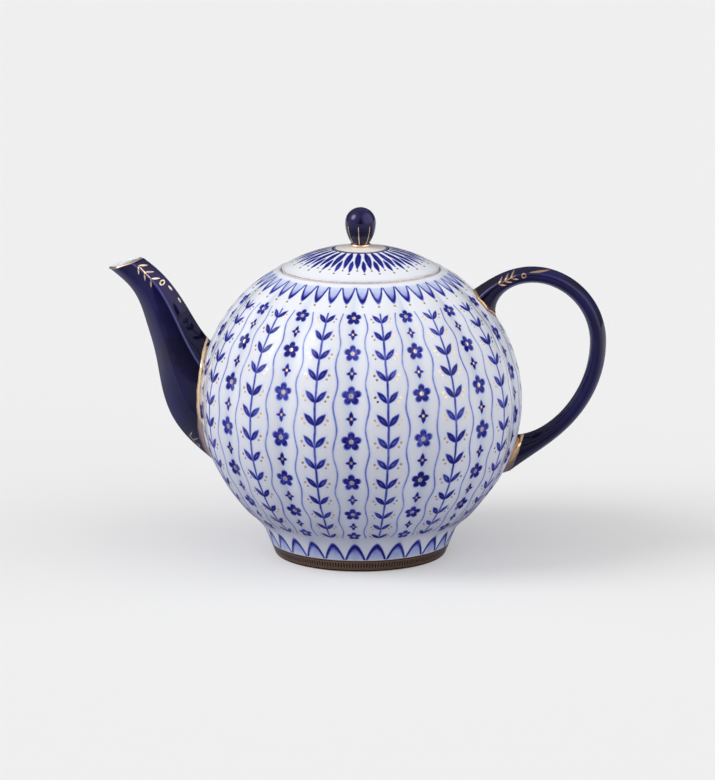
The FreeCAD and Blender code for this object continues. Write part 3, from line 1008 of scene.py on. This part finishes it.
def seam(x, y, z, place, nodes, width):
    """Gold bead along a join, by its height above the lobe that carries it: where it is and how raised."""
    lobe = (LOBE_RADIUS ** 2 - y * y).math("SQRT") + (MERIDIAN_RADIUS - LOBE_RADIUS)
    above = length(abs(x) - GLOBE_OFFSET, z - GLOBE_HEIGHT) - lobe
    edge = nodes.noise(place, 0.3, 1.0) * 0.5 + width
    share = above / edge
    return (edge - above).rise(-0.08, 0.08), ((share - share * share) * 4).most(0.0)


def sprig(foot, step, lean, spread, long):
    """Three pairs of leaves up a stalk, for a spray."""
    leaves = []
    for k in range(3):
        start = (foot[0] + step[0] * k, foot[1] + step[1] * k)
        leaves += [(start, lean + side * spread, long, 0.27) for side in (-1, 1)]
    return leaves


def spray(x, z, place, nodes, leaves, rings):
    """Worn gold leaves, each a start, a direction, a length and a half width, and small rings."""
    shape = None
    for start, degrees, long, wide in leaves:
        leaf = lens(x, z, start, degrees, long, wide).rise(-0.12, 0.12)
        shape = leaf if shape is None else shape.most(leaf)
    for centre, radius in rings:
        edge = abs(dot(x, z, centre, radius))
        shape = shape.most(edge.rise(0.24, 0.14))
    return shape * (nodes.noise(place, 0.8, 2.0).rise(0.30, 0.52) * 0.5 + 0.5)


# gold on the spout and the handle: width of the beads along the joins, and the sprigs, each with its
# foot, its step from pair to pair, and the lean, spread and length of its leaves, with further leaves
# and rings
SPOUT_BEAD = 1.45
UPPER_BEAD = 0.75
LOWER_BEAD = 1.95
BEAD_CHANGE = (66, 38)
SPOUT_STALK = (-78.9, 104.6)
SPOUT_SPRIG = (SPOUT_STALK, (2.2, -2.3), 137, 40, 3.2)
SPOUT_LEAVES = [
    (SPOUT_STALK, 136, 6.6, 0.16),
    ((-68.6, 97.0), 142, 2.4, 0.25),
    ((-65.2, 92.6), 150, 2.2, 0.22),
    ((-61.4, 41.6), 24, 2.8, 0.26),
    ((-60.4, 40.4), 62, 2.8, 0.26),
    ((-61.9, 42.8), 143, 5.2, 0.16),
]
SPOUT_RINGS = [((-70.6, 98.2), 0.7), ((-58.4, 38.4), 0.6)]
HANDLE_STALK = (49.2, 99.2)
HANDLE_SPRIG = (HANDLE_STALK, (2.1, 1.1), 62, 34, 3.0)
HANDLE_LEAVES = [(HANDLE_STALK, 62, 7.2, 0.16), ((60.0, 103.5), 86, 7.6, 0.26)]
HANDLE_RINGS = [((58.2, 102.4), 0.7)]
# stripes up the knob, from its front round
KNOB_STRIPES = 8
STRIPE_START = math.radians(-94.5)
STRIPE_HALF = 0.13
STRIPE_TOP = 7.6
# how far the cobalt pales over the ridges, where the glaze thins and a highlight is painted, and where painted
# shade darkens it
SPOUT_THINNING_AND_HIGHLIGHT = 0.75
HANDLE_THINNING_AND_HIGHLIGHT = 0.22
SPOUT_SHADE = (-67, -57)
HANDLE_LOW_SHADE = (60, 42)
HANDLE_ROOT_SHADE = (56, 46)
KNOB_SHADE = (10.5, 4.5)


def cobalt_glaze(material, nodes, place, gold, gloss, thinning_and_highlight=0.0, pooling_and_shade=0.0, raised=None, gilding=PALE_GOLD):
    """Deep cobalt, clouded a little, darkened by painted shade by the share given, and paler over the ridges,
    where the glaze thins, with a painted highlight strongest on the outer ones.
    """
    cloud = nodes.noise(place, 0.075, 1.5).rise(0.18, 0.72)
    # painted shade: where it is given, the clouding gives way to the darkest cobalt
    colour = nodes.blend(cloud * (1 - pooling_and_shade), COBALT, CLOUDED_COBALT)
    if thinning_and_highlight:
        ridge = nodes.node("ShaderNodeAttribute", "Fac", attribute_name="ridge")
        # paler cobalt over the marked ridges: thinner glaze, and a painted highlight strongest on the outer
        # ones
        colour = nodes.blend(ridge * thinning_and_highlight, colour, RIDGE_THINNING_AND_HIGHLIGHT)
    return surface(material, nodes, place, colour, gold, gilding, gloss, COBALT_SHEEN, raised)


def spout_paint():
    material, nodes, place = begin("cobalt_spout")
    x, y, z = nodes.parts(place)
    tip = SPOUT[0]
    turn = math.radians(90 - tip[2])
    ahead = (z - tip[1]) * math.cos(turn) - (x - tip[0]) * math.sin(turn)
    gold, raised = seam(x, y, z, place, nodes, SPOUT_BEAD)
    gold = gold.most(ahead.rise(-0.6, -0.45))
    leaves = sprig(*SPOUT_SPRIG) + SPOUT_LEAVES
    gold = gold.most(spray(x, z, place, nodes, leaves, SPOUT_RINGS))
    # painted shade: the spout darker toward its root at the body
    pooling_and_shade = x.rise(*SPOUT_SHADE)
    return cobalt_glaze(material, nodes, place, gold, SPOUT_GLOSS, SPOUT_THINNING_AND_HIGHLIGHT, pooling_and_shade, raised)


def handle_paint():
    material, nodes, place = begin("cobalt_handle")
    x, y, z = nodes.parts(place)
    width = z.rise(*BEAD_CHANGE) * (LOWER_BEAD - UPPER_BEAD) + UPPER_BEAD
    gold, raised = seam(x, y, z, place, nodes, width)
    leaves = sprig(*HANDLE_SPRIG) + HANDLE_LEAVES
    gold = gold.most(spray(x, z, place, nodes, leaves, HANDLE_RINGS))
    # painted shade: the handle darker toward its bottom and near its roots at the body
    pooling_and_shade = z.rise(*HANDLE_LOW_SHADE).most(x.rise(*HANDLE_ROOT_SHADE))
    return cobalt_glaze(material, nodes, place, gold, HANDLE_GLOSS, HANDLE_THINNING_AND_HIGHLIGHT, pooling_and_shade, raised, GOLD)


def knob_paint():
    material, nodes, place = begin("cobalt_knob")
    x, y, z = nodes.parts(place)
    above = z - DOME_HEIGHT
    angle = y.math("ARCTAN2", x)
    stripe = abs(repeat(angle - STRIPE_START, 2 * math.pi / KNOB_STRIPES)) * length(x, y)
    stripes = (STRIPE_HALF - length(stripe, (above - STRIPE_TOP).most(0.0))).rise(-0.04, 0.04)
    collar = above.rise(COLLAR_HEIGHT + 0.12, COLLAR_HEIGHT)
    # painted shade: the knob darker toward its foot
    pooling_and_shade = above.rise(*KNOB_SHADE)
    return cobalt_glaze(material, nodes, place, stripes.most(collar), KNOB_GLOSS, pooling_and_shade=pooling_and_shade)


def white_paint():
    material, nodes, place = begin("white_inside")
    # a random mottle of two whites, with no shade in it
    pooling_and_shade = nodes.blend(nodes.noise(place, 0.4, 2.0), WHITE, INSIDE_WHITE)
    return surface(material, nodes, place, pooling_and_shade, 0.0)


def dress(piece, *materials):
    for material in materials:
        piece.data.materials.append(material)


dress(pot_body, body_paint())
dress(spout, spout_paint(), white_paint())
dress(handle, handle_paint())
dress(lid, lid_paint())
dress(lid_knob, knob_paint())


# floor, in metres: its colour and glow as seen, what it throws back on the pot from the front and from
# behind, and where the one gives way to the other and where reflections begin to show it
FLOOR_SIZE = 30
FLOOR_COLOUR = (0.60, 0.60, 0.60, 1)
FLOOR_GLOW = (0.25, 0.25, 0.25, 1)
FLOOR_NEAR = (0.35, 0.36, 0.44, 1)
FLOOR_FAR = (0.33, 0.33, 0.48, 1)
BLACK = (0, 0, 0, 1)
NEAR_TO_FAR = (-0.04, 0.08)
MIRRORED_FROM = (0.12, 0.45)
# camera of the photo: azimuth and elevation in degrees, distance in metres, aim in millimetres
AZIMUTH = 3.25
ELEVATION = 12.5
DISTANCE = 1.6
AIM = (-1.07, 0, 59.25)
LENS = 206.3
# soft lights of the studio: direction, cosines where the glow starts and is full, and strength, which
# darkens that side where it is negative
LIGHTS = [
    ((-0.80, -0.50, 0.40), 0.45, 0.92, 0.68),
    ((-0.70, -0.25, 0.60), 0.940, 0.985, 6.2),
    ((0.0, 0.15, 1.0), 0.35, 0.95, 0.27),
    ((0.85, -0.35, 0.38), 0.55, 0.95, 1.36),
    ((0.0, -1.0, 0.05), 0.75, 0.95, -0.19),
    ((0.0, 1.0, 0.25), 0.60, 0.90, -0.16),
]
AMBIENT = 0.22
GROUND = 0.88


def make_floor():
    """Pale floor that keeps the pot's shadow; in the glaze it shows only from a little way off."""
    leave_edit()
    bpy.ops.mesh.primitive_plane_add(size=FLOOR_SIZE)
    floor = named("floor")
    material = bpy.data.materials.new("pale_floor")
    material.use_nodes = True
    nodes = Nodes(material.node_tree)
    shader = material.node_tree.nodes["Principled BSDF"]
    x, y, _ = nodes.parts(nodes.node("ShaderNodeTexCoord", "Object"))
    mirrored = nodes.ray("Glossy").most(nodes.ray("Transmission")) * length(x, y).rise(*MIRRORED_FROM)
    seen = nodes.ray("Camera").most(mirrored)
    bounce = nodes.blend(y.rise(*NEAR_TO_FAR), FLOOR_NEAR, FLOOR_FAR)
    nodes.feed(shader.inputs["Base Color"], nodes.blend(seen, bounce, FLOOR_COLOUR))
    nodes.feed(shader.inputs["Emission Color"], nodes.blend(seen, BLACK, FLOOR_GLOW))
    shader.inputs["Emission Strength"].default_value = 1.0
    shader.inputs["Roughness"].default_value = 1.0
    shader.inputs["Specular IOR Level"].default_value = 0.0
    floor.data.materials.append(material)


def make_camera():
    camera = bpy.data.objects.new("camera", bpy.data.cameras.new("camera"))
    bpy.context.scene.collection.objects.link(camera)
    azimuth, elevation = math.radians(AZIMUTH), math.radians(ELEVATION)
    level = math.cos(elevation)
    back = Vector((math.sin(azimuth) * level, -math.cos(azimuth) * level, math.sin(elevation)))
    camera.location = Vector(AIM) * MM + back * DISTANCE
    camera.rotation_euler = (-back).to_track_quat("-Z", "Y").to_euler()
    camera.data.sensor_width = 36
    camera.data.lens = LENS
    camera.data.clip_start = 0.05
    camera.data.clip_end = 50
    bpy.context.scene.camera = camera
    bpy.context.scene.view_settings.view_transform = "Standard"


def make_studio():
    """World light alone, so that the floor is evenly lit; the camera sees a plain pale ground."""
    world = bpy.data.worlds.new("studio")
    world.use_nodes = True
    bpy.context.scene.world = world
    nodes = Nodes(world.node_tree)
    way = nodes.node("ShaderNodeTexCoord", "Generated")
    total = None
    for direction, start, full, strength in LIGHTS:
        toward = nodes.node("ShaderNodeVectorMath", "Value",
                            {0: way, 1: Vector(direction).normalized()}, operation="DOT_PRODUCT")
        glow = toward.rise(start, full) * strength
        total = glow if total is None else total + glow
    total = total + AMBIENT
    seen = nodes.ray("Camera")
    background = world.node_tree.nodes["Background"]
    nodes.feed(background.inputs["Strength"], total * (1 - seen) + seen * GROUND)
    background.inputs["Color"].default_value = (1, 1, 1, 1)


make_floor()
make_camera()
make_studio()
